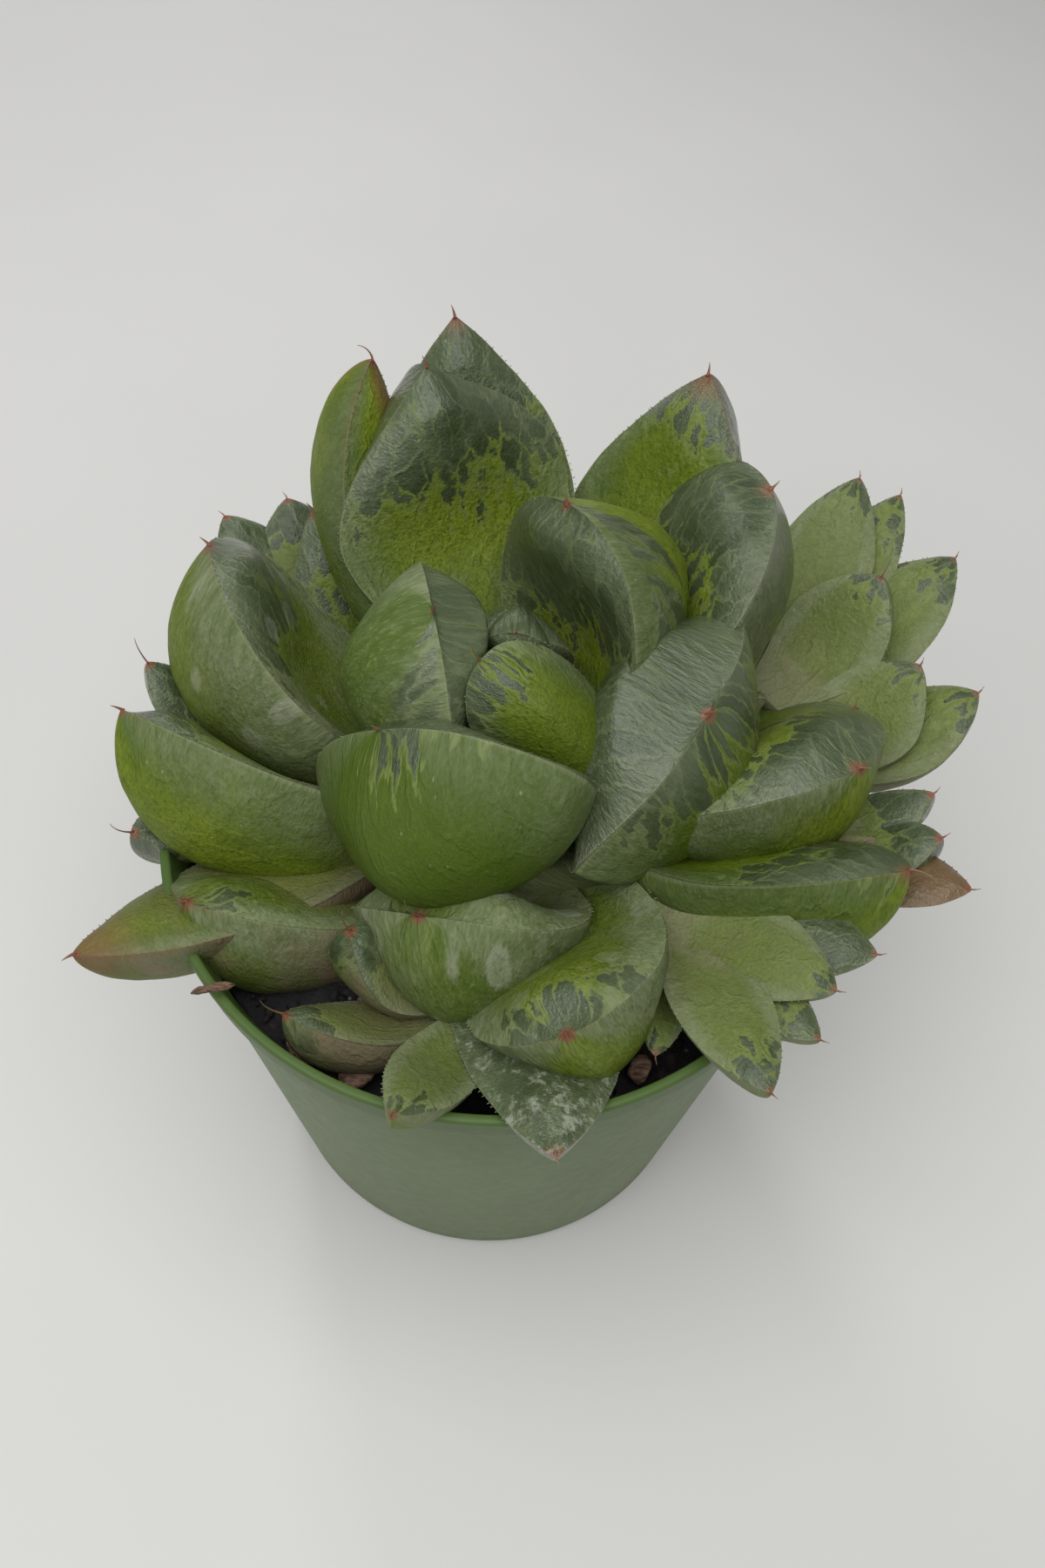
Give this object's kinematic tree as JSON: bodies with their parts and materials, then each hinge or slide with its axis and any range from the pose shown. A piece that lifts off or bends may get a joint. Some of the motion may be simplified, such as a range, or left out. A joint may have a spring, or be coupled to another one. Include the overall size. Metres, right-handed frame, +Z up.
{
  "type": "potted succulent",
  "caption": "Small round nursery pot full of soil with a dense rosette of fat, keeled, pointed leaves and small side rosettes that lean over the rim.",
  "frame": {"origin": "centre of the flat underside of the pot", "axes": "+Z up along the pot's axis, +Y away from the viewer of the picture, +X to the viewer's right"},
  "size_m": [0.1002, 0.0955, 0.0962],
  "materials": {
    "pot": "thin satin green-grey polypropylene",
    "soil": "loose dark potting mix",
    "stem": "matt plant tissue",
    "leaf": "waxy green skin with glossy windows near the tips",
    "offset_leaf": "waxy pale green skin with pink-brown bases",
    "bark": "rough damp bark",
    "dry_leaf": "dry brown skin"
  },
  "bodies": {
    "root": {"pot": "pot", "soil": "soil", "main_stem": "stem", "main_leaf_01": "leaf", "main_leaf_02": "leaf", "main_leaf_03": "leaf", "main_leaf_04": "leaf", "main_leaf_05": "leaf", "main_leaf_06": "leaf", "main_leaf_07": "leaf", "main_leaf_08": "leaf", "main_leaf_09": "leaf", "main_leaf_10": "leaf", "main_leaf_11": "leaf", "main_leaf_12": "leaf", "main_leaf_13": "leaf", "main_leaf_14": "leaf", "main_leaf_15": "leaf", "main_leaf_16": "leaf", "main_leaf_17": "leaf", "main_leaf_18": "leaf", "main_leaf_19": "leaf", "main_leaf_20": "leaf", "main_leaf_21": "leaf", "main_leaf_22": "leaf", "main_leaf_23": "leaf", "offset_front_left": "offset_leaf", "offset_front_right": "offset_leaf", "offset_right_back": "offset_leaf", "offset_right_middle": "offset_leaf", "offset_right_low": "offset_leaf", "offset_back_left": "offset_leaf", "offset_left": "offset_leaf", "bark_chip_1": "bark", "bark_chip_2": "bark", "bark_chip_3": "bark", "dry_leaf": "dry_leaf"}
  },
  "joints": []
}
